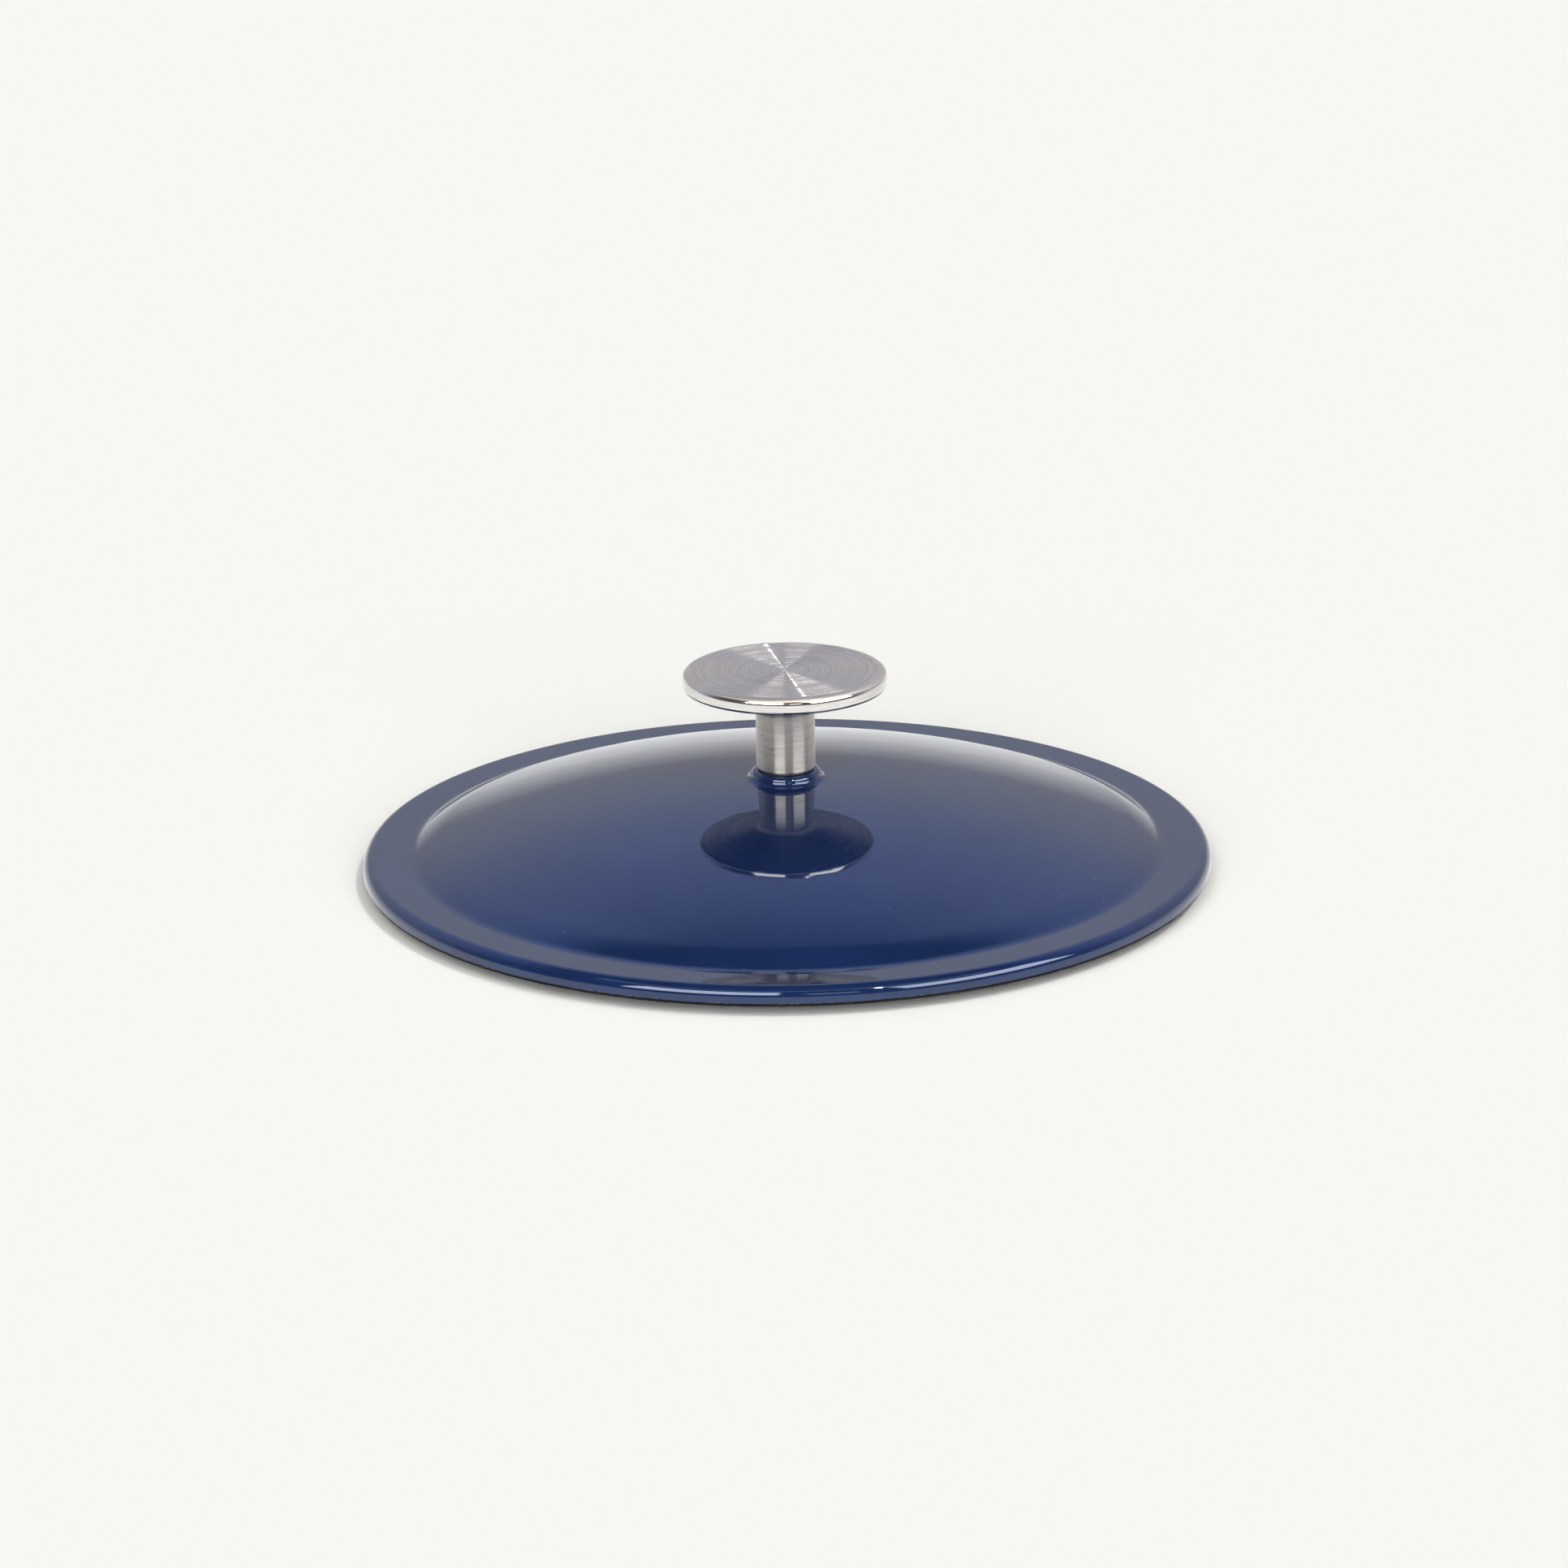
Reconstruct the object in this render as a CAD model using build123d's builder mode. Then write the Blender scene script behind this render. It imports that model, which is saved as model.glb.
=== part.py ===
"""Lid of a round enamelled cast iron Dutch oven, with its bolted steel knob.

Millimetres, +Z up.  The Z axis is the lid's own axis of revolution and z = 0 is the plane that the
locating lip stands on when the lid lies on a table.
"""

import os
from math import asin, cos, degrees, radians, sin, sqrt, tan

from build123d import *

# ---- driving dimensions -------------------------------------------------------------------------
# Lid: outer surface of the enamel
LID_RADIUS = 134.0
FLANGE_TOP = 10.0  # height of the flange's outer edge
RIM_THICKNESS = 6.0
RIM_ROUND = 3.4  # top edge of the rim
RIM_UNDER_ROUND = 0.6
FLANGE_SLOPE = -0.8  # degrees, falling outwards; below zero it rises outwards
FLANGE_INNER_RADIUS = 120.5  # where the flange turns up into the dome
FLANGE_FILLET = 7.0
SHOULDER_SLOPE = 29.2  # degrees, the steepest part of the dome's edge
SHOULDER_RADIUS = 46.0
CROWN_RADIUS = 345.0

# Enamel coats
ENAMEL = 0.4
ENAMEL_EDGE = 5.2  # height of the navy coat's lower edge on the rim
BARE_LIP = 1.5  # height of the lip's inside that stays bare

# Knob boss, enamelled with the dome
BOSS_FLAT_RADIUS = 9.2
BOSS_ROUND = 1.9
BOSS_FOOT = 2.2
BOSS_SLOPE = 75.0  # degrees, where the boss's round meets its foot
BOSS_OPEN_RADIUS = 5.0  # the coat stops short of the screw hole
SCREW_HOLE_RADIUS = 3.3

# Underside
WALL = 5.0  # iron and both coats together
CAVITY_CORNER = 6.0  # round between the dome's underside and the lip
LIP_OUTER_RADIUS = 119.5
LIP_INNER_RADIUS = 115.5  # surface of the inner coat
LIP_ROUND = 0.8
PAD_RADIUS = 11.0
PAD_HEIGHT = 1.4

# Knob
STEM_RADIUS = 9.3
STEM_FOOT_ROUND = 0.8
TAPPED_RADIUS = 3.0  # M6
TAPPED_DEPTH = 10.0
DRILL_POINT_ANGLE = 118.0
DISC_RADIUS = 32.3
DISC_EDGE = 4.9  # thickness at the edge
DISC_TOP_ROUND = 2.4
DISC_UNDER_ROUND = 1.0
HUB_SLOPE = 16.0  # degrees, the disc's underside falling towards the stem
HUB_ROUND = 2.8  # between the disc's underside and the stem
KNOB_TOP = 67.0

# Fastener stack
SEAL_RADIUS = 8.9
SEAL_HOLE_RADIUS = 3.3
SEAL_THICKNESS = 0.4
FLAT_WASHER_RADIUS = 9.0  # M6, large series
FLAT_WASHER_HOLE_RADIUS = 3.2
WASHER_THICKNESS = 1.6
SPRING_WASHER_RADIUS = 5.9  # M6, pressed flat
SPRING_WASHER_HOLE_RADIUS = 3.05
SPRING_WASHER_GAP = 1.0
SCREW_RADIUS = 2.97
SCREW_LENGTH = 20.0
SCREW_TIP_CHAMFER = 0.7
HEAD_RADIUS = 6.0
HEAD_HEIGHT = 4.6
HEAD_ROUND = 2.4
RECESS_SPAN = 6.8
RECESS_WIDTH = 1.5
RECESS_DEPTH = 2.6
RECESS_TAPER = 8.0

# ---- the dome's outline, worked out from the rim inwards --------------------------------------------
flange_slope = radians(FLANGE_SLOPE)
shoulder_slope = radians(SHOULDER_SLOPE)
boss_slope = radians(BOSS_SLOPE)

rim_centre = (LID_RADIUS - RIM_ROUND, FLANGE_TOP - RIM_ROUND)
flange_rise = (rim_centre[0] - FLANGE_INNER_RADIUS) * tan(flange_slope)
flange_inner_z = rim_centre[1] + RIM_ROUND * cos(flange_slope) + flange_rise
fillet_centre = (
    FLANGE_INNER_RADIUS + FLANGE_FILLET * sin(flange_slope),
    flange_inner_z + FLANGE_FILLET * cos(flange_slope),
)
shoulder_centre = (
    fillet_centre[0] - (FLANGE_FILLET + SHOULDER_RADIUS) * sin(shoulder_slope),
    fillet_centre[1] - (FLANGE_FILLET + SHOULDER_RADIUS) * cos(shoulder_slope),
)
crown_slope = asin(shoulder_centre[0] / (CROWN_RADIUS - SHOULDER_RADIUS))
crown_centre_z = shoulder_centre[1] - (CROWN_RADIUS - SHOULDER_RADIUS) * cos(crown_slope)

boss_foot_r = BOSS_FLAT_RADIUS + (BOSS_ROUND + BOSS_FOOT) * sin(boss_slope)
boss_foot_z = crown_centre_z + sqrt((CROWN_RADIUS + BOSS_FOOT) ** 2 - boss_foot_r**2)
boss_foot_slope = asin(boss_foot_r / (CROWN_RADIUS + BOSS_FOOT))
boss_round_z = boss_foot_z - (BOSS_ROUND + BOSS_FOOT) * cos(boss_slope)
boss_top = boss_round_z + BOSS_ROUND

# The underside is a smaller sphere about the crown's own centre, turned down into the lip
cavity_radius = CROWN_RADIUS - WALL
corner_r = LIP_INNER_RADIUS - CAVITY_CORNER
corner_slope = asin(corner_r / (cavity_radius - CAVITY_CORNER))
corner_z = crown_centre_z + (cavity_radius - CAVITY_CORNER) * cos(corner_slope)
pad_foot_z = crown_centre_z + sqrt(cavity_radius**2 - PAD_RADIUS**2)
pad_z = pad_foot_z - PAD_HEIGHT

# ---- heights of the stack on the screw --------------------------------------------------------------
rim_under = FLANGE_TOP - RIM_THICKNESS
stem_foot = boss_top + SEAL_THICKNESS
disc_under = KNOB_TOP - DISC_EDGE
hub_under = disc_under - (DISC_RADIUS - STEM_RADIUS) * tan(radians(HUB_SLOPE))
flat_washer_under = pad_z - WASHER_THICKNESS
head_seat = flat_washer_under - WASHER_THICKNESS
drill_point = TAPPED_RADIUS / tan(radians(DRILL_POINT_ANGLE / 2))


def arc(centre, radius, start, end):
    """Arc between two directions given in degrees, drawn in the open BuildLine."""
    return CenterArc(centre, radius, start, end - start)


def top_outline(inset):
    """Top of the lid from the boss to the rim's side, moved inwards by the inset."""
    shoulder, crown, foot = SHOULDER_SLOPE, degrees(crown_slope), degrees(boss_foot_slope)
    boss = arc((BOSS_FLAT_RADIUS, boss_round_z), BOSS_ROUND - inset, 90, 90 - BOSS_SLOPE)
    arc((boss_foot_r, boss_foot_z), BOSS_FOOT + inset, 270 - BOSS_SLOPE, 270 - foot)
    arc((0, crown_centre_z), CROWN_RADIUS - inset, 90 - foot, 90 - crown)
    arc(shoulder_centre, SHOULDER_RADIUS - inset, 90 - crown, 90 - shoulder)
    turn = arc(fillet_centre, FLANGE_FILLET + inset, 270 - shoulder, 270 - FLANGE_SLOPE)
    rim = arc(rim_centre, RIM_ROUND - inset, 90 - FLANGE_SLOPE, 0)
    Line(turn @ 1, rim @ 0)
    return boss @ 0, rim @ 1


def cavity_outline(inset):
    """Underside from the pad to the lip's inner wall, moved into the iron by the inset."""
    pad_slope = degrees(asin(PAD_RADIUS / (cavity_radius + inset)))
    corner = degrees(corner_slope)
    crown = arc((0, crown_centre_z), cavity_radius + inset, 90 - pad_slope, 90 - corner)
    turn = arc((corner_r, corner_z), CAVITY_CORNER + inset, 90 - corner, 0)
    return crown @ 0, turn @ 1


# ---- lid ------------------------------------------------------------------------------------------------
with BuildPart() as lid_casting:
    with BuildSketch(Plane.XZ):
        with BuildLine():
            boss_end, rim_end = top_outline(ENAMEL)
            pad_end, lip_end = cavity_outline(ENAMEL)
            FilletPolyline(
                rim_end,
                (rim_end.X, rim_under),
                (LIP_OUTER_RADIUS, rim_under),
                (LIP_OUTER_RADIUS, 0),
                (lip_end.X, 0),
                lip_end,
                radius=[RIM_UNDER_ROUND, LIP_ROUND, LIP_ROUND, LIP_ROUND],
            )
            Polyline(
                pad_end,
                (PAD_RADIUS, pad_z),
                (SCREW_HOLE_RADIUS, pad_z),
                (SCREW_HOLE_RADIUS, boss_end.Y),
                boss_end,
            )
        make_face()
    revolve(axis=Axis.Z)
lid_casting.part.label = "lid_casting"

with BuildPart() as outer_enamel:
    with BuildSketch(Plane.XZ):
        with BuildLine():
            boss_end, rim_end = top_outline(0)
            boss_iron, rim_iron = top_outline(ENAMEL)
            Polyline(
                boss_end,
                (BOSS_OPEN_RADIUS, boss_end.Y),
                (BOSS_OPEN_RADIUS, boss_iron.Y),
                boss_iron,
            )
            Polyline(rim_end, (rim_end.X, ENAMEL_EDGE), (rim_iron.X, ENAMEL_EDGE), rim_iron)
        make_face()
    revolve(axis=Axis.Z)
outer_enamel.part.label = "outer_enamel"

with BuildPart() as inner_enamel:
    with BuildSketch(Plane.XZ):
        with BuildLine():
            pad_end, lip_end = cavity_outline(0)
            pad_iron, lip_iron = cavity_outline(ENAMEL)
            Line(pad_end, pad_iron)
            Polyline(lip_end, (lip_end.X, BARE_LIP), (lip_iron.X, BARE_LIP), lip_iron)
        make_face()
    revolve(axis=Axis.Z)
inner_enamel.part.label = "inner_enamel"

# ---- knob, turned in one piece -----------------------------------------------------------------------
with BuildPart() as knob:
    with BuildSketch(Plane.XZ):
        with BuildLine():
            surface = FilletPolyline(
                (0, KNOB_TOP),
                (DISC_RADIUS, KNOB_TOP),
                (DISC_RADIUS, disc_under),
                (STEM_RADIUS, hub_under),
                (STEM_RADIUS, stem_foot),
                (TAPPED_RADIUS, stem_foot),
                radius=[DISC_TOP_ROUND, DISC_UNDER_ROUND, HUB_ROUND, STEM_FOOT_ROUND],
            )
            Polyline(
                surface @ 1,
                (TAPPED_RADIUS, stem_foot + TAPPED_DEPTH),
                (0, stem_foot + TAPPED_DEPTH + drill_point),
                surface @ 0,
            )
        make_face()
    revolve(axis=Axis.Z)
knob.part.label = "knob"


# ---- seal and washers --------------------------------------------------------------------------------
def ring(label, base, radius, hole_radius, thickness):
    """Flat ring standing on the height called base."""
    with BuildPart() as washer:
        with BuildSketch(Plane.XY.offset(base)):
            Circle(radius)
            Circle(hole_radius, mode=Mode.SUBTRACT)
        extrude(amount=thickness)
    washer.part.label = label
    return washer


seal_washer = ring("seal_washer", boss_top, SEAL_RADIUS, SEAL_HOLE_RADIUS, SEAL_THICKNESS)
flat_washer = ring(
    "flat_washer", flat_washer_under, FLAT_WASHER_RADIUS, FLAT_WASHER_HOLE_RADIUS, WASHER_THICKNESS
)

with BuildPart() as spring_washer:
    with BuildSketch(Plane.XY.offset(head_seat)):
        Circle(SPRING_WASHER_RADIUS)
        Circle(SPRING_WASHER_HOLE_RADIUS, mode=Mode.SUBTRACT)
        with Locations((SPRING_WASHER_RADIUS, 0)):
            Rectangle(2 * SPRING_WASHER_RADIUS, SPRING_WASHER_GAP, mode=Mode.SUBTRACT)
    extrude(amount=WASHER_THICKNESS)
spring_washer.part.label = "spring_washer"

# ---- screw: cross-recessed pan head, from below ---------------------------------------------------------
with BuildPart() as knob_screw:
    with BuildSketch(Plane.XY.offset(head_seat)):
        Circle(HEAD_RADIUS)
    extrude(amount=-HEAD_HEIGHT)
    fillet(knob_screw.edges().group_by(Axis.Z)[0], radius=HEAD_ROUND)
    with BuildSketch(Plane.XY.offset(head_seat)):
        Circle(SCREW_RADIUS)
    extrude(amount=SCREW_LENGTH)
    chamfer(knob_screw.edges().group_by(Axis.Z)[-1], length=SCREW_TIP_CHAMFER)
    with BuildSketch(Plane.XY.offset(head_seat - HEAD_HEIGHT)):
        Rectangle(RECESS_SPAN, RECESS_WIDTH)
        Rectangle(RECESS_WIDTH, RECESS_SPAN)
    extrude(amount=RECESS_DEPTH, taper=RECESS_TAPER, mode=Mode.SUBTRACT)
knob_screw.part.label = "knob_screw"

os.makedirs("parts", exist_ok=True)
for piece in (
    lid_casting,
    outer_enamel,
    inner_enamel,
    knob,
    seal_washer,
    flat_washer,
    spring_washer,
    knob_screw,
):
    export_step(piece.part, f"parts/{piece.part.label}.step")
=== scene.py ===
"""Looks of the enamelled cast iron lid: dense turned meshes, glass enamel, brushed steel, plain studio."""

from math import acos, asin, cos, degrees, pi, radians, sin, sqrt, tan

import bmesh
import bpy
import numpy as np
from mathutils import Matrix, Vector, noise


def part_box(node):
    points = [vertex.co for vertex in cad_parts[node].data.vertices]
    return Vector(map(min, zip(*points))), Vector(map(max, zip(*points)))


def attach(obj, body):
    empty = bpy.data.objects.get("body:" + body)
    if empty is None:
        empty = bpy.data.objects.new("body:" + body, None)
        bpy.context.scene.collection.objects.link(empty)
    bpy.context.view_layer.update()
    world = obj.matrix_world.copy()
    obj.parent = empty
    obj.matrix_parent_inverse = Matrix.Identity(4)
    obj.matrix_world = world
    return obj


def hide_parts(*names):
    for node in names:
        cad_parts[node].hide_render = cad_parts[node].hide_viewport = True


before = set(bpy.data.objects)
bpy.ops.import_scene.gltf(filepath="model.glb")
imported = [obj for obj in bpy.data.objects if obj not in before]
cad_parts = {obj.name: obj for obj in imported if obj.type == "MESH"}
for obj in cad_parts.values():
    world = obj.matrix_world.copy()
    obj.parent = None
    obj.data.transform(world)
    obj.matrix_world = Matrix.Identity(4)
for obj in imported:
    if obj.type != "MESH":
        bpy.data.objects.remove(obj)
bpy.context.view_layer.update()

MM = 0.001
WELD = 1e-7
SHARP_ANGLE = radians(40)

# Fineness of the turned meshes: faces round the axis, and steps along a small round
LID_SEGMENTS = 720
KNOB_SEGMENTS = 240
IRON_ROUND_STEPS = 6
KNOB_ROUND_STEPS = 10
SEAL_ROUND_STEPS = 8

# Uneven lower edges of the two upper coats, in millimetres. Their noise has layers of (share, size, seed).
EDGE_ZONE = 0.8
EDGE_NICKS = 0.22
EDGE_WAVES = 0.12
NICK_LAYERS = ((0.6, 1.4, 3.0), (0.4, 0.5, 9.0))
WAVE_LAYERS = ((1.0, 17.0, 5.0),)
LUMP_LAYERS = ((0.5, 0.9, 21.0), (0.5, 0.35, 27.0))

# Section of the pale ground coat, in millimetres inside the rim's radius and above the navy coat's edge,
# and the depth of its lumps, which only points below the last height have
GROUND_SECTION = ((0.45, -0.05), (0.22, -0.12), (0.08, 0.05), (0.06, 0.3), (0.45, 0.3))
GROUND_LUMPS = 0.2
GROUND_LUMPS_BELOW = 0.1

# The disc's brushing gives way to buffing this far off flat, in degrees, and this near the edge
EDGE_POLISH_ANGLE = 54.0
EDGE_POLISH_WIDTH = 2.6

# Turning marks of the disc: rings the top is cut into, the share of them that are deep marks, and the
# width in metres and slope of the marks' sides
DISC_RINGS = 300
MARK_SHARE = 0.4
MARK_SEED = 3
MARK_WIDTH = 0.00012
MARK_SLOPE = 1.4

# Studio, in metres and degrees. Azimuth 0 is towards the camera and grows to the right.
FLOOR_SIZE = 16.0
FLOOR_GAP = 0.00005
FLOOR_COLOUR = (0.747, 0.747, 0.719)
BACKDROP = (0.922, 0.922, 0.888)

# What the shiny pieces mirror: the paper's glow and the sky, each behind the lid and in front of it, with
# (elevation, colour) stops, and panels of (azimuths), (elevations) and brightness. The blends are where
# front gives way to back along Y, in metres on the paper and as part of the direction in the sky.
GLOW_BEHIND = (1.06, 1.06, 1.06)
GLOW_BEFORE = (1.3, 1.3, 1.3)
GLOW_BLEND = (-0.1, 0.1)
SKY_BLEND = (-0.15, 0.35)
SKY_BEHIND = (
    (0, (1.0, 1.0, 1.0)),
    (5, (0.80, 0.80, 0.82)),
    (10, (0.50, 0.50, 0.55)),
    (20, (0.60, 0.63, 0.74)),
    (35, (0.56, 0.65, 1.00)),
    (43, (0.53, 0.62, 1.02)),
    (50, (0.44, 0.53, 0.91)),
    (60, (0.10, 0.13, 0.22)),
    (90, (0.09, 0.10, 0.14)),
)
SKY_FRONT = (
    (0, (0.18, 0.18, 0.18)),
    (30, (0.11, 0.11, 0.11)),
    (90, (0.15, 0.17, 0.23)),
)
PANEL_SOFT_SIDES = 0.6
PANEL_SOFT_ENDS = 0.8
PANELS = (
    ((-46, -3), (21, 47), 8.0),
    ((5, 19), (21, 32), 2.0),
    ((31, 83), (21, 47), 7.5),
    ((-80, 85), (57, 60), 2.5),
)

# What lights the matt surfaces: a dim sky with one bright band. The small lamp shines on everything.
FILL = (
    (0, (0.05, 0.05, 0.05)),
    (45, (0.05, 0.05, 0.05)),
    (60, (0.3, 0.3, 0.3)),
    (90, (0.3, 0.3, 0.3)),
)
FILL_BAND = ((-35, 35), (6, 53), 7.1)
LAMP_ENERGY = 1.0
LAMP_WIDTH = 1.2
LAMP_DIRECTION = (30, 51)

CAMERA_LENS = 120
CAMERA_SENSOR = 36
CAMERA_FAR = 100
CAMERA_DISTANCE = 1.6562
CAMERA_ELEVATION = 18.652
CAMERA_AIM = (-0.00068, 0, 0.02931)
CAMERA_ROLL = -0.8

# ---- dimensions shared with the CAD part, in millimetres ---------------------------------------------
LID_RADIUS = 134.0
FLANGE_TOP = 10.0
RIM_THICKNESS = 6.0
RIM_ROUND = 3.4
RIM_UNDER_ROUND = 0.6
FLANGE_SLOPE = -0.8
FLANGE_INNER_RADIUS = 120.5
FLANGE_FILLET = 7.0
SHOULDER_SLOPE = 29.2
SHOULDER_RADIUS = 46.0
CROWN_RADIUS = 345.0
ENAMEL = 0.4
ENAMEL_EDGE = 5.2
BARE_LIP = 1.5
BOSS_FLAT_RADIUS = 9.2
BOSS_ROUND = 1.9
BOSS_FOOT = 2.2
BOSS_SLOPE = 75.0
BOSS_OPEN_RADIUS = 5.0
SCREW_HOLE_RADIUS = 3.3
WALL = 5.0
CAVITY_CORNER = 6.0
LIP_OUTER_RADIUS = 119.5
LIP_INNER_RADIUS = 115.5
LIP_ROUND = 0.8
PAD_RADIUS = 11.0
PAD_HEIGHT = 1.4
STEM_RADIUS = 9.3
STEM_FOOT_ROUND = 0.8
TAPPED_RADIUS = 3.0
DISC_EDGE = 4.9
DISC_TOP_ROUND = 2.4
DISC_UNDER_ROUND = 1.0
HUB_SLOPE = 16.0
HUB_ROUND = 2.8

# ---- the dome's outline, as in the CAD part ----------------------------------------------------------
flange_slope = radians(FLANGE_SLOPE)
shoulder_slope = radians(SHOULDER_SLOPE)
boss_slope = radians(BOSS_SLOPE)

rim_centre = (LID_RADIUS - RIM_ROUND, FLANGE_TOP - RIM_ROUND)
flange_rise = (rim_centre[0] - FLANGE_INNER_RADIUS) * tan(flange_slope)
flange_inner_z = rim_centre[1] + RIM_ROUND * cos(flange_slope) + flange_rise
fillet_centre = (
    FLANGE_INNER_RADIUS + FLANGE_FILLET * sin(flange_slope),
    flange_inner_z + FLANGE_FILLET * cos(flange_slope),
)
shoulder_centre = (
    fillet_centre[0] - (FLANGE_FILLET + SHOULDER_RADIUS) * sin(shoulder_slope),
    fillet_centre[1] - (FLANGE_FILLET + SHOULDER_RADIUS) * cos(shoulder_slope),
)
crown_slope = asin(shoulder_centre[0] / (CROWN_RADIUS - SHOULDER_RADIUS))
crown_centre_z = shoulder_centre[1] - (CROWN_RADIUS - SHOULDER_RADIUS) * cos(crown_slope)
boss_foot_r = BOSS_FLAT_RADIUS + (BOSS_ROUND + BOSS_FOOT) * sin(boss_slope)
boss_foot_z = crown_centre_z + sqrt((CROWN_RADIUS + BOSS_FOOT) ** 2 - boss_foot_r**2)
boss_foot_slope = asin(boss_foot_r / (CROWN_RADIUS + BOSS_FOOT))
boss_round_z = boss_foot_z - (BOSS_ROUND + BOSS_FOOT) * cos(boss_slope)
cavity_radius = CROWN_RADIUS - WALL
corner_r = LIP_INNER_RADIUS - CAVITY_CORNER
corner_slope = asin(corner_r / (cavity_radius - CAVITY_CORNER))
corner_z = crown_centre_z + (cavity_radius - CAVITY_CORNER) * cos(corner_slope)
pad_z = crown_centre_z + sqrt(cavity_radius**2 - PAD_RADIUS**2) - PAD_HEIGHT
rim_under = FLANGE_TOP - RIM_THICKNESS


# ---- outlines and turned meshes ----------------------------------------------------------------------
def arc(centre, radius, start, end, steps):
    """Points (r, z) along an arc between two directions in degrees."""
    angles = np.radians(np.linspace(start, end, steps + 1))
    return [(centre[0] + radius * cos(a), centre[1] + radius * sin(a)) for a in angles]


def line(start, end, steps):
    """Points (r, z) from start to end."""
    return [tuple(np.array(start) + (np.array(end) - start) * t) for t in np.linspace(0, 1, steps + 1)]


def joined(*runs):
    """One outline from several runs, without the points that two runs share."""
    outline = []
    for run in runs:
        for point in run:
            if not outline or np.hypot(point[0] - outline[-1][0], point[1] - outline[-1][1]) > WELD / MM:
                outline.append(point)
    return outline


def rounded(corners, radii, steps):
    """Points (r, z) along straight runs whose inner corners are rounded."""
    run = [corners[0]]
    for before, corner, after, radius in zip(corners, corners[1:], corners[2:], radii):
        corner = np.array(corner)
        back, ahead = np.array(before) - corner, np.array(after) - corner
        back, ahead = back / np.hypot(*back), ahead / np.hypot(*ahead)
        half = acos(back @ ahead) / 2
        centre = corner + (back + ahead) / np.hypot(*(back + ahead)) * radius / sin(half)
        first, last = (corner + way * radius / tan(half) - centre for way in (back, ahead))
        turn = pi - 2 * half
        for t in np.linspace(0, 1, steps + 1):
            run.append(tuple(centre + (first * sin((1 - t) * turn) + last * sin(t * turn)) / sin(turn)))
    return run + [corners[-1]]


def top_outline(inset, detail):
    """Top of the lid from the boss to the rim's side, moved inwards by the inset."""
    crown, foot = degrees(crown_slope), degrees(boss_foot_slope)
    boss = arc((BOSS_FLAT_RADIUS, boss_round_z), BOSS_ROUND - inset, 90, 90 - BOSS_SLOPE, 5 * detail)
    turn = arc(
        (boss_foot_r, boss_foot_z), BOSS_FOOT + inset, 270 - BOSS_SLOPE, 270 - foot, 5 * detail
    )
    dome = arc((0, crown_centre_z), CROWN_RADIUS - inset, 90 - foot, 90 - crown, 8 * detail)
    shoulder = arc(
        shoulder_centre, SHOULDER_RADIUS - inset, 90 - crown, 90 - SHOULDER_SLOPE, 4 * detail
    )
    fillet = arc(
        fillet_centre, FLANGE_FILLET + inset, 270 - SHOULDER_SLOPE, 270 - FLANGE_SLOPE, 5 * detail
    )
    rim = arc(rim_centre, RIM_ROUND - inset, 90 - FLANGE_SLOPE, 0, 6 * detail)
    return joined(boss, turn, dome, shoulder, fillet, rim)


def cavity_outline(inset, detail):
    """Underside from the pad to the lip's inner wall, moved into the iron by the inset."""
    pad_slope = degrees(asin(PAD_RADIUS / (cavity_radius + inset)))
    corner = degrees(corner_slope)
    dome = arc((0, crown_centre_z), cavity_radius + inset, 90 - pad_slope, 90 - corner, 8 * detail)
    turn = arc((corner_r, corner_z), CAVITY_CORNER + inset, 90 - corner, 0, 5 * detail)
    return joined(dome, turn)


def turned(name, outline, segments, wobble=None):
    """Mesh object made by turning a closed outline (millimetres) about the Z axis."""
    ring = np.array(outline, float)
    count = len(ring)
    angles = np.arange(segments) * 2 * pi / segments
    radius = np.repeat(ring[:, :1], segments, axis=1)
    height = np.repeat(ring[:, 1:], segments, axis=1)
    if wobble:
        radius, height = wobble(radius, height, angles)
    points = np.stack([radius * np.cos(angles), radius * np.sin(angles), height], -1) * MM
    i, j = np.meshgrid(np.arange(count), np.arange(segments), indexing="ij")
    i_next, j_next = (i + 1) % count, (j + 1) % segments
    corners = [i * segments + j, i_next * segments + j, i_next * segments + j_next, i * segments + j_next]
    mesh = bpy.data.meshes.new(name)
    mesh.from_pydata(points.reshape(-1, 3).tolist(), [], np.stack(corners, -1).reshape(-1, 4).tolist())
    shape = bmesh.new()
    shape.from_mesh(mesh)
    bmesh.ops.remove_doubles(shape, verts=shape.verts, dist=WELD)
    bmesh.ops.recalc_face_normals(shape, faces=shape.faces)
    shape.to_mesh(mesh)
    shape.free()
    mesh.shade_smooth()
    mesh.set_sharp_from_angle(angle=SHARP_ANGLE)
    piece = bpy.data.objects.new(name, mesh)
    bpy.context.scene.collection.objects.link(piece)
    return piece


def finish_piece(piece, slot, materials, *nodes):
    """Gives a piece its materials and its body, and hides the CAD nodes that it stands for, if any."""
    for material in materials:
        piece.data.materials.append(material)
    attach(piece, "root")
    if nodes:
        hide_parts(*nodes)


# ---- shader helpers ----------------------------------------------------------------------------------
def new_material(name, **values):
    """Principled material with the given socket values. Returns it with its tree and shader node."""
    material = bpy.data.materials.new(name)
    material.use_nodes = True
    tree = material.node_tree
    shader = tree.nodes["Principled BSDF"]
    for socket, value in values.items():
        shader.inputs[socket.replace("_", " ")].default_value = value
    return material, tree, shader


def add_node(tree, kind, inputs=None, **settings):
    """Adds a node. Inputs are values or the sockets that feed them."""
    node = tree.nodes.new(kind)
    for key, value in settings.items():
        setattr(node, key, value)
    for key, value in (inputs or {}).items():
        if isinstance(value, bpy.types.NodeSocket):
            tree.links.new(value, node.inputs[key])
        else:
            node.inputs[key].default_value = value
    return node


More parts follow.
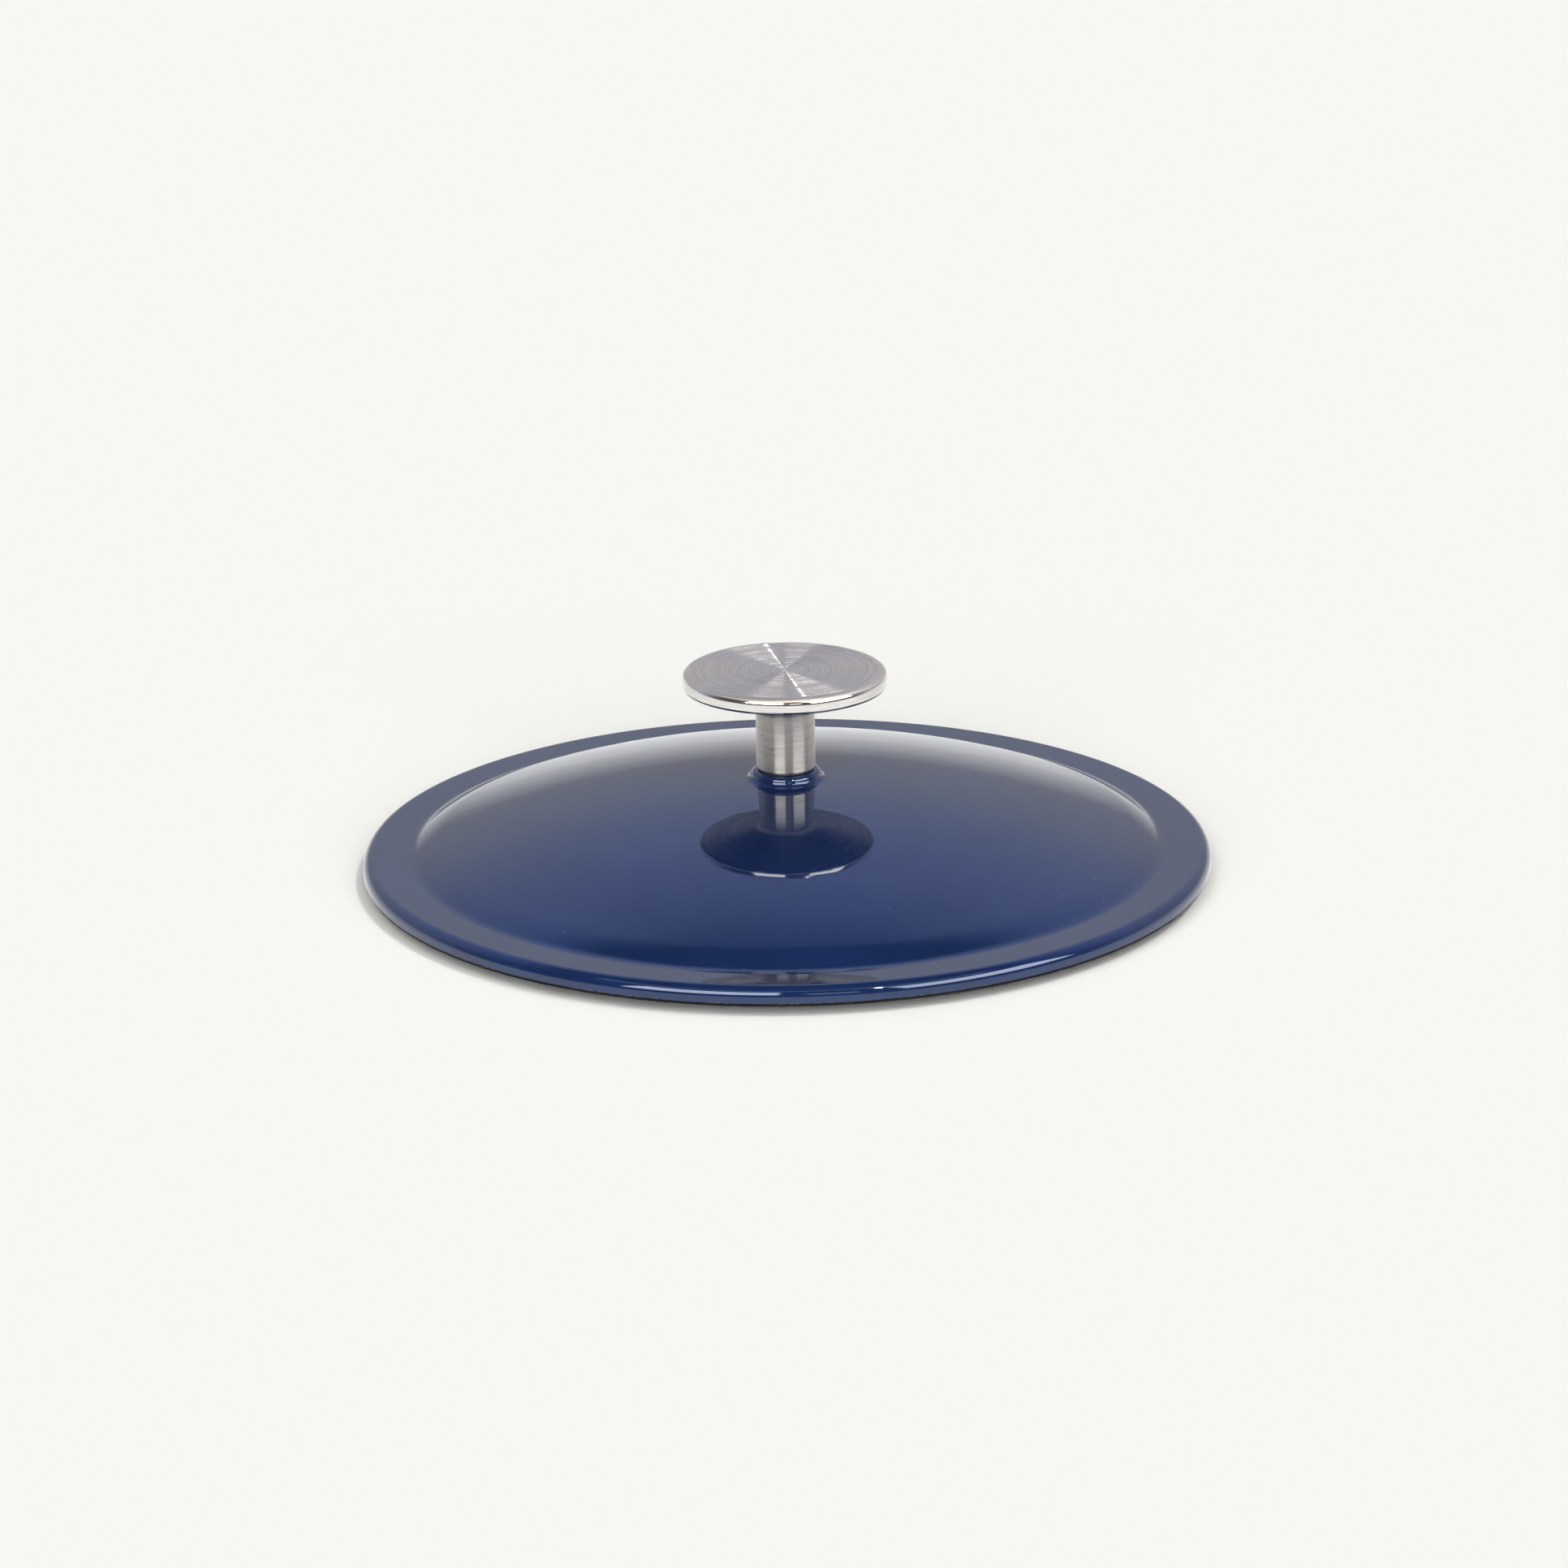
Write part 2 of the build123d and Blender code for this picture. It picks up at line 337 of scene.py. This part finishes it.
def position(tree, scale=(1, 1, 1)):
    """The piece's own coordinates in metres, scaled along each axis."""
    where = add_node(tree, "ShaderNodeTexCoord").outputs["Object"]
    return add_node(tree, "ShaderNodeMapping", {"Vector": where, "Scale": scale}).outputs["Vector"]


def grain(tree, vector, size, detail=2.0, roughness=0.5):
    """Noise from 0 to 1 with lumps about as large as size, in metres."""
    inputs = {"Vector": vector, "Scale": 1 / size, "Detail": detail, "Roughness": roughness}
    return add_node(tree, "ShaderNodeTexNoise", inputs).outputs["Fac"]


def ramp(tree, factor, *stops):
    """Colour ramp with stops of (position, colour)."""
    node = add_node(tree, "ShaderNodeValToRGB", {"Fac": factor})
    for element in list(node.color_ramp.elements)[1:]:
        node.color_ramp.elements.remove(element)
    for index, (place, colour) in enumerate(stops):
        element = node.color_ramp.elements[0] if index == 0 else node.color_ramp.elements.new(place)
        element.position = place
        element.color = (*colour, 1) if len(colour) == 3 else colour
    return node.outputs["Color"]


def value_ramp(tree, factor, low, high, to_low=0.0, to_high=1.0):
    """Moves a value from one range to another, held at both ends."""
    inputs = {"Value": factor, "From Min": low, "From Max": high, "To Min": to_low, "To Max": to_high}
    return add_node(tree, "ShaderNodeMapRange", inputs).outputs["Result"]


def mixed(tree, factor, first, second):
    """Colour mix of two colours or colour sockets."""
    node = add_node(tree, "ShaderNodeMix", data_type="RGBA")
    # The node repeats its sockets for numbers, vectors and colours: inputs 6 and 7 and output 2 are colours
    for socket, value in ((node.inputs[0], factor), (node.inputs[6], first), (node.inputs[7], second)):
        if isinstance(value, bpy.types.NodeSocket):
            tree.links.new(value, socket)
        elif isinstance(value, tuple):
            socket.default_value = (*value, 1)
        else:
            socket.default_value = value
    return node.outputs[2]


def calculated(tree, operation, first, second=0.0):
    """Math node on values or sockets."""
    return add_node(tree, "ShaderNodeMath", {0: first, 1: second}, operation=operation).outputs[0]


def vector_result(tree, operation, inputs, output="Vector"):
    """Vector math node on vectors or sockets."""
    return add_node(tree, "ShaderNodeVectorMath", inputs, operation=operation).outputs[output]


def specks(tree, where, spacing, patch, rarity, edge):
    """One on small round specks in some patches and nought elsewhere. Spacing and patch are in metres, and
    edge is where a speck fades out, as shares of the spacing."""
    inputs = {"Vector": where, "Scale": 1 / spacing}
    distance = add_node(tree, "ShaderNodeTexVoronoi", inputs, feature="F1").outputs["Distance"]
    patches = value_ramp(tree, grain(tree, where, patch, 0.0), *rarity)
    return calculated(tree, "MULTIPLY", value_ramp(tree, distance, *edge, 1.0, 0.0), patches)


def bumped(tree, shader, *layers):
    """Puts bump layers of (height socket, depth in metres) on the shader, one after another."""
    normal = None
    for height, depth in layers:
        inputs = {"Height": height, "Distance": depth, "Strength": 1.0}
        if normal:
            inputs["Normal"] = normal
        normal = add_node(tree, "ShaderNodeBump", inputs).outputs["Normal"]
    tree.links.new(normal, shader.inputs["Normal"])


# ---- materials ---------------------------------------------------------------------------------------
def navy_enamel():
    """Glossy navy glass with a slight orange peel, a fine ripple, clouded depth and pale specks."""
    material, tree, shader = new_material(
        "navy_glass", Roughness=0.035, IOR=1.66, Specular_Tint=(0.72, 0.81, 1.0, 1)
    )
    where = position(tree)
    clouds = grain(tree, where, 0.03, 3.0)
    colour = ramp(tree, clouds, (0.35, (0.0023, 0.0090, 0.039)), (0.65, (0.0033, 0.0120, 0.050)))
    speck = specks(tree, where, spacing=0.0035, patch=0.006, rarity=(0.56, 0.6), edge=(0.035, 0.05))
    colour = mixed(tree, speck, colour, (0.16, 0.19, 0.27))
    tree.links.new(colour, shader.inputs["Base Color"])
    peel = grain(tree, where, 0.008, 1.0)
    ripple = grain(tree, where, 0.0022, 1.0)
    bumped(tree, shader, (peel, 0.000026), (ripple, 0.0000026), (speck, 0.00001))
    return material


def pale_enamel():
    """Glossy off-white glass of the underside, faintly mottled and specked."""
    material, tree, shader = new_material("pale_glass", Roughness=0.08, IOR=1.54)
    where = position(tree)
    mottle = grain(tree, where, 0.018, 4.0, 0.6)
    colour = ramp(tree, mottle, (0.3, (0.60, 0.555, 0.455)), (0.7, (0.70, 0.655, 0.55)))
    speck = specks(tree, where, spacing=0.004, patch=0.007, rarity=(0.5, 0.56), edge=(0.04, 0.07))
    tree.links.new(mixed(tree, speck, colour, (0.16, 0.12, 0.09)), shader.inputs["Base Color"])
    bumped(tree, shader, (grain(tree, where, 0.007, 1.0), 0.00003), (speck, 0.00001))
    return material


def ragged_edge():
    """Thin pale ground coat that shows in grains along the navy coat's lower edge."""
    material, tree, shader = new_material("ground_coat", Roughness=0.45, IOR=1.5)
    where = position(tree)
    grains = grain(tree, where, 0.0009, 2.0, 0.7)
    colour = ramp(
        tree, grains, (0.4, (0.015, 0.018, 0.03)), (0.5, (0.07, 0.075, 0.085)), (0.66, (0.22, 0.22, 0.22))
    )
    tree.links.new(colour, shader.inputs["Base Color"])
    bumped(tree, shader, (grains, 0.00012))
    return material


def bare_iron():
    """Blackened cast iron with a sandy skin."""
    material, tree, shader = new_material("blackened_iron", IOR=1.3, Specular_IOR_Level=0.15)
    where = position(tree)
    sand = grain(tree, where, 0.0011, 3.0, 0.65)
    cloud = grain(tree, where, 0.012, 4.0, 0.6)
    colour = ramp(tree, cloud, (0.3, (0.004, 0.004, 0.0045)), (0.75, (0.011, 0.010, 0.0095)))
    tree.links.new(colour, shader.inputs["Base Color"])
    tree.links.new(value_ramp(tree, sand, 0.3, 0.7, 0.5, 0.72), shader.inputs["Roughness"])
    bumped(tree, shader, (sand, 0.00016), (cloud, 0.0002))
    return material


def turned_steel(name):
    """Steel whose shine spreads across grooves that run round the Z axis."""
    material, tree, shader = new_material(name, Metallic=1.0, Anisotropic=1.0, Anisotropic_Rotation=0.25)
    tangent = add_node(tree, "ShaderNodeTangent", direction_type="RADIAL", axis="Z")
    tree.links.new(tangent.outputs["Tangent"], shader.inputs["Tangent"])
    return material, tree, shader


def brushed_steel():
    """Stainless steel of the stem and hub, brushed round the axis, with scratches across the shine."""
    material, tree, shader = turned_steel("brushed_steel")
    fine = grain(tree, position(tree, (0.03, 0.03, 1)), 0.0002, 3.0, 0.7)
    coarse = grain(tree, position(tree, (0.05, 0.05, 1)), 0.0009, 2.0)
    scratches = value_ramp(tree, grain(tree, position(tree, (0.25, 0.25, 2)), 0.0006, 2.0), 0.6, 0.75)
    streak = calculated(
        tree, "ADD", calculated(tree, "MULTIPLY", fine, 0.6), calculated(tree, "MULTIPLY", coarse, 0.4)
    )
    colour = ramp(
        tree, streak, (0.36, (0.49, 0.455, 0.41)), (0.5, (0.60, 0.565, 0.52)), (0.62, (0.67, 0.635, 0.59))
    )
    worn = value_ramp(tree, grain(tree, position(tree), 0.008, 2.0), 0.4, 0.6)
    cut = calculated(tree, "MULTIPLY", scratches, worn)
    tree.links.new(mixed(tree, cut, colour, (0.34, 0.31, 0.28)), shader.inputs["Base Color"])
    tree.links.new(value_ramp(tree, streak, 0.35, 0.65, 0.34, 0.28), shader.inputs["Roughness"])
    bumped(tree, shader, (fine, 0.000004), (coarse, 0.000004))
    return material


def ring_coordinates(tree):
    """The flat position on the disc, and coordinates that change only with the distance from the axis."""
    flat = position(tree, (1, 1, 0))
    distance = vector_result(tree, "LENGTH", {0: flat}, "Value")
    return flat, add_node(tree, "ShaderNodeCombineXYZ", {"Z": distance}).outputs["Vector"]


def disc_ground():
    """Evenly dulled steel between the turning marks of the disc's top, with faint stains."""
    material, tree, shader = new_material("disc_ground", Metallic=1.0)
    _, rings = ring_coordinates(tree)
    fine = grain(tree, rings, 0.0005, 3.0, 0.7)
    stain = grain(tree, position(tree), 0.011, 3.0, 0.6)
    colour = ramp(tree, fine, (0.34, (0.63, 0.555, 0.455)), (0.66, (0.69, 0.605, 0.495)))
    stained = value_ramp(tree, stain, 0.4, 0.7, 0.0, 0.4)
    tree.links.new(mixed(tree, stained, colour, (0.53, 0.46, 0.38)), shader.inputs["Base Color"])
    tree.links.new(value_ramp(tree, stain, 0.3, 0.7, 0.46, 0.52), shader.inputs["Roughness"])
    bumped(tree, shader, (fine, 0.000003))
    return material


def turning_marks():
    """Sharp circular cuts in the disc's top, which draw the lamp as one thin line across it."""
    material, tree, shader = turned_steel("turning_marks")
    flat, rings = ring_coordinates(tree)
    outwards = vector_result(tree, "NORMALIZE", {0: flat})
    side = value_ramp(tree, grain(tree, rings, MARK_WIDTH, 0.0), 0.45, 0.55, -MARK_SLOPE, MARK_SLOPE)
    lean = vector_result(tree, "SCALE", {0: outwards, "Scale": side})
    upright = add_node(tree, "ShaderNodeNewGeometry").outputs["Normal"]
    leaning = vector_result(tree, "ADD", {0: upright, 1: lean})
    tree.links.new(vector_result(tree, "NORMALIZE", {0: leaning}), shader.inputs["Normal"])
    worn = grain(tree, position(tree), 0.0015, 2.0)
    colour = ramp(tree, worn, (0.35, (0.46, 0.435, 0.405)), (0.65, (0.56, 0.53, 0.495)))
    tree.links.new(colour, shader.inputs["Base Color"])
    tree.links.new(value_ramp(tree, worn, 0.3, 0.7, 0.22, 0.26), shader.inputs["Roughness"])
    return material


def polished_edge():
    """Buffed steel of the disc's edge with the last polishing marks."""
    material, tree, shader = new_material("polished_edge", Metallic=1.0)
    fine = grain(tree, position(tree, (0.05, 0.05, 1)), 0.0004, 2.0)
    colour = ramp(tree, fine, (0.35, (0.58, 0.56, 0.535)), (0.65, (0.68, 0.66, 0.635)))
    tree.links.new(colour, shader.inputs["Base Color"])
    tree.links.new(value_ramp(tree, fine, 0.3, 0.7, 0.06, 0.11), shader.inputs["Roughness"])
    bumped(tree, shader, (fine, 0.000004))
    return material


def fastener_steel():
    """Plain rolled stainless steel of the screw and washers."""
    material, tree, shader = new_material("fastener_steel", Metallic=1.0)
    where = position(tree)
    worn = grain(tree, where, 0.0012, 4.0, 0.6)
    colour = ramp(tree, worn, (0.3, (0.36, 0.35, 0.33)), (0.7, (0.56, 0.55, 0.53)))
    tree.links.new(colour, shader.inputs["Base Color"])
    tree.links.new(value_ramp(tree, worn, 0.3, 0.7, 0.42, 0.25), shader.inputs["Roughness"])
    bumped(tree, shader, (grain(tree, where, 0.0003, 2.0), 0.00001))
    return material


def seal_rubber():
    """Matt black heat-proof gasket."""
    material, tree, shader = new_material("seal_rubber", Roughness=0.6)
    speckle = grain(tree, position(tree), 0.0004, 3.0)
    colour = ramp(tree, speckle, (0.3, (0.008, 0.008, 0.009)), (0.7, (0.02, 0.02, 0.021)))
    tree.links.new(colour, shader.inputs["Base Color"])
    bumped(tree, shader, (speckle, 0.00003))
    return material


# ---- the lid -----------------------------------------------------------------------------------------
def rim_noise(angles, layers):
    """Smooth noise round the rim, the same at both ends of the turn."""
    total = np.zeros(len(angles))
    for share, size, seed in layers:
        r = LID_RADIUS / size
        total += share * np.array([noise.noise(Vector((r * cos(a), r * sin(a), seed))) for a in angles])
    return total


def outer_coat():
    """The navy coat: the dome, boss, flange and rim in one skin, with an uneven lower edge."""
    top = top_outline(0, 5)
    hidden = top_outline(ENAMEL, 1)
    side = line(top[-1], (LID_RADIUS, ENAMEL_EDGE), 4)
    under = line((LID_RADIUS, ENAMEL_EDGE), (LID_RADIUS - ENAMEL, ENAMEL_EDGE), 1)
    boss = line((BOSS_OPEN_RADIUS, hidden[0][1]), (BOSS_OPEN_RADIUS, top[0][1]), 1)
    outline = joined(top, side, under, hidden[::-1], boss)

    def uneven(radius, height, angles):
        low = (height < ENAMEL_EDGE + EDGE_ZONE) & (radius > LID_RADIUS - 2 * ENAMEL)
        share = np.where(low, 1 - (height - ENAMEL_EDGE) / EDGE_ZONE, 0)
        nicks = EDGE_NICKS * rim_noise(angles, NICK_LAYERS)
        waves = EDGE_WAVES * rim_noise(angles, WAVE_LAYERS)
        return radius, height + share * (nicks + waves)

    piece = turned("navy_coat", outline, LID_SEGMENTS, uneven)
    finish_piece(piece, "navy_enamel", [navy_enamel()], "outer_enamel")


def ground_coat():
    """The pale first coat, a narrow grainy band between the navy coat and the iron."""
    outline = [(LID_RADIUS - inside, ENAMEL_EDGE + above) for inside, above in GROUND_SECTION]

    def uneven(radius, height, angles):
        low = height < ENAMEL_EDGE + GROUND_LUMPS_BELOW
        return radius, height + np.where(low, GROUND_LUMPS * rim_noise(angles, LUMP_LAYERS), 0)

    piece = turned("ground_coat_edge", outline, 2 * LID_SEGMENTS, uneven)
    finish_piece(piece, "inner_enamel", [ragged_edge()])


def iron():
    """The casting: hidden under both coats but bare on the rim's underside, the lip and the pad."""
    top = top_outline(ENAMEL, 1)
    cavity = cavity_outline(ENAMEL, 1)
    rim_r, lip_r = top[-1][0], cavity[-1][0]
    under = rounded(
        [
            top[-1],
            (rim_r, rim_under),
            (LIP_OUTER_RADIUS, rim_under),
            (LIP_OUTER_RADIUS, 0),
            (lip_r, 0),
            cavity[-1],
        ],
        [RIM_UNDER_ROUND, LIP_ROUND, LIP_ROUND, LIP_ROUND],
        IRON_ROUND_STEPS,
    )
    pad = [(PAD_RADIUS, pad_z), (SCREW_HOLE_RADIUS, pad_z), (SCREW_HOLE_RADIUS, top[0][1])]
    piece = turned("iron_body", joined(top, under, cavity[::-1], pad), LID_SEGMENTS)
    finish_piece(piece, "iron", [bare_iron()], "lid_casting")


def inner_coat():
    """The off-white coat of the underside, from the screw's pad to the inside of the lip."""
    face, back = cavity_outline(0, 4), cavity_outline(ENAMEL, 1)
    foot = line(face[-1], (face[-1][0], BARE_LIP), 2)
    edge = [(back[-1][0], BARE_LIP)]
    piece = turned("pale_coat", joined(face, foot, edge, back[::-1]), LID_SEGMENTS)
    finish_piece(piece, "inner_enamel", [pale_enamel()], "inner_enamel")


# ---- the knob ----------------------------------------------------------------------------------------
def knob():
    """The knob, turned in one piece: brushed disc, hub and stem, and a buffed edge."""
    low, high = (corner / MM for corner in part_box("knob"))
    radius, foot, top = high.x, low.z, high.z
    under = top - DISC_EDGE
    hub = under - (radius - STEM_RADIUS) * tan(radians(HUB_SLOPE))
    outline = rounded(
        [
            (0, top),
            (radius, top),
            (radius, under),
            (STEM_RADIUS, hub),
            (STEM_RADIUS, foot),
            (TAPPED_RADIUS, foot),
        ],
        [DISC_TOP_ROUND, DISC_UNDER_ROUND, HUB_ROUND, STEM_FOOT_ROUND],
        KNOB_ROUND_STEPS,
    )
    flat_radius = radius - DISC_TOP_ROUND
    rings = line((0, top), (flat_radius, top), DISC_RINGS)
    hole = [(TAPPED_RADIUS, foot + STEM_RADIUS), (0, foot + STEM_RADIUS)]
    piece = turned("turned_knob", joined(rings, outline[1:], hole), KNOB_SEGMENTS)
    finish_piece(
        piece, "brushed_steel", [brushed_steel(), polished_edge(), disc_ground(), turning_marks()], "knob"
    )
    polished, ground, marks = 1, 2, 3
    marked = np.random.default_rng(MARK_SEED).random(DISC_RINGS) < MARK_SHARE
    for face in piece.data.polygons:
        away = face.center.to_2d().length / MM
        if face.normal.z > cos(radians(EDGE_POLISH_ANGLE)) and face.center.z > under * MM:
            ring = int(away * DISC_RINGS / flat_radius)
            face.material_index = marks if ring < DISC_RINGS and marked[ring] else ground
        elif away > radius - EDGE_POLISH_WIDTH:
            face.material_index = polished


def gasket():
    """The dark seal in the joint at the stem's foot, bulged by the screw's pull."""
    low, high = (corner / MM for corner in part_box("seal_washer"))
    half = (high.z - low.z) / 2
    outline = joined(
        [(SCREW_HOLE_RADIUS, high.z), (SCREW_HOLE_RADIUS, low.z)],
        arc((high.x - half, low.z + half), half, 270, 450, SEAL_ROUND_STEPS),
    )
    piece = turned("seal_ring", outline, KNOB_SEGMENTS)
    finish_piece(piece, "seal", [seal_rubber()], "seal_washer")


def fasteners():
    """The screw and its washers stay as the CAD part has them, in plain steel."""
    steel = fastener_steel()
    for name in ("knob_screw", "flat_washer", "spring_washer"):
        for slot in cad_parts[name].material_slots:
            slot.material = steel


# ---- studio ------------------------------------------------------------------------------------------
def glossy_only(thing):
    """Leaves an object to reflections alone."""
    for ray in ("camera", "diffuse", "transmission", "volume_scatter", "shadow"):
        setattr(thing, f"visible_{ray}", False)


def direction(azimuth, elevation):
    """Unit vector from the lid. Azimuth 0 is towards the camera and grows to the right."""
    a, e = radians(azimuth), radians(elevation)
    return Vector((sin(a) * cos(e), -cos(a) * cos(e), sin(e)))


def sheet(name, material, height):
    """Square horizontal stage sheet."""
    mesh = bpy.data.meshes.new(name)
    h = FLOOR_SIZE / 2
    mesh.from_pydata([(-h, -h, 0), (h, -h, 0), (h, h, 0), (-h, h, 0)], [], [(0, 1, 2, 3)])
    mesh.materials.append(material)
    thing = bpy.data.objects.new(name, mesh)
    thing.location.z = height
    bpy.context.scene.collection.objects.link(thing)
    return thing


def floor():
    """Plain pale paper under the lid, and the brighter paper that reflections see in its place."""
    matt = {"Roughness": 1.0, "Specular_IOR_Level": 0.0}
    paper, _, _ = new_material("floor_paper", Base_Color=(*FLOOR_COLOUR, 1), **matt)
    sheet("floor", paper, -FLOOR_GAP).visible_glossy = False
    glow, tree, shader = new_material("floor_glow", Base_Color=(0, 0, 0, 1), **matt)
    ahead = add_node(tree, "ShaderNodeSeparateXYZ", {0: position(tree)}).outputs["Y"]
    colour = mixed(tree, value_ramp(tree, ahead, *GLOW_BLEND), GLOW_BEFORE, GLOW_BEHIND)
    tree.links.new(colour, shader.inputs["Emission Color"])
    shader.inputs["Emission Strength"].default_value = 1.0
    glow.cycles.emission_sampling = "NONE"
    glossy_only(sheet("floor_glow", glow, -2 * FLOOR_GAP))


def hard_lamp():
    """Small bright lamp high on the right, for the sparkles and the line across the disc."""
    lamp = bpy.data.lights.new("hard_lamp", "SUN")
    lamp.energy = LAMP_ENERGY
    lamp.angle = radians(LAMP_WIDTH)
    thing = bpy.data.objects.new("hard_lamp", lamp)
    thing.rotation_euler = direction(*LAMP_DIRECTION).to_track_quat("Z", "Y").to_euler()
    bpy.context.scene.collection.objects.link(thing)


def window(tree, value, low, high, soft):
    """One between two limits and nought outside, with soft edges."""
    rise = value_ramp(tree, value, low - soft, low + soft)
    fall = value_ramp(tree, value, high - soft, high + soft, 1.0, 0.0)
    return calculated(tree, "MULTIPLY", rise, fall)


def surroundings():
    """The studio all round: what shiny pieces mirror, the soft fill on matt ones, and the backdrop."""
    world = bpy.data.worlds.new("studio")
    world.use_nodes = True
    world.cycles.sampling_method = "NONE"
    tree = world.node_tree
    sky = tree.nodes["Background"]
    way = add_node(tree, "ShaderNodeTexCoord").outputs["Generated"]
    parts = add_node(tree, "ShaderNodeSeparateXYZ", {0: way}).outputs
    elevation = calculated(tree, "DEGREES", calculated(tree, "ARCSINE", parts["Z"]))
    forward = calculated(tree, "MULTIPLY", parts["Y"], -1.0)
    azimuth = calculated(tree, "DEGREES", calculated(tree, "ARCTAN2", parts["X"], forward))

    def with_panel(colour, sides, heights, brightness):
        wide = window(tree, azimuth, *sides, PANEL_SOFT_SIDES)
        tall = window(tree, elevation, *heights, PANEL_SOFT_ENDS)
        return mixed(tree, calculated(tree, "MULTIPLY", wide, tall), colour, (brightness,) * 3)

    def sky_ramp(stops):
        return ramp(tree, height, *((e / 90, colour) for e, colour in stops))

    height = value_ramp(tree, elevation, 0, 90)
    mirrored = mixed(
        tree, value_ramp(tree, parts["Y"], *SKY_BLEND), sky_ramp(SKY_FRONT), sky_ramp(SKY_BEHIND)
    )
    for panel in PANELS:
        mirrored = with_panel(mirrored, *panel)
    fill = with_panel(sky_ramp(FILL), *FILL_BAND)
    rays = add_node(tree, "ShaderNodeLightPath").outputs
    colour = mixed(tree, rays["Is Glossy Ray"], fill, mirrored)
    tree.links.new(mixed(tree, rays["Is Camera Ray"], colour, BACKDROP), sky.inputs["Color"])
    bpy.context.scene.world = world


def camera():
    """Long lens looking slightly down on the lid, with a little roll."""
    data = bpy.data.cameras.new("camera")
    data.lens = CAMERA_LENS
    data.sensor_width = CAMERA_SENSOR
    data.clip_end = CAMERA_FAR
    thing = bpy.data.objects.new("camera", data)
    place = Vector((0, 0, FLANGE_TOP * MM)) + direction(0, CAMERA_ELEVATION) * CAMERA_DISTANCE
    forward = (Vector(CAMERA_AIM) - place).normalized()
    right = forward.cross(Vector((0, 0, 1))).normalized()
    up = right.cross(forward)
    roll = radians(CAMERA_ROLL)
    across = right * cos(roll) + up * sin(roll)
    upward = up * cos(roll) - right * sin(roll)
    turn = Matrix((across, upward, -forward)).transposed().to_4x4()
    thing.matrix_world = Matrix.Translation(place) @ turn
    bpy.context.scene.collection.objects.link(thing)
    bpy.context.scene.camera = thing


# ---- build -------------------------------------------------------------------------------------------
outer_coat()
ground_coat()
iron()
inner_coat()
knob()
gasket()
fasteners()

floor()
hard_lamp()
surroundings()
camera()
bpy.context.scene.view_settings.view_transform = "Standard"
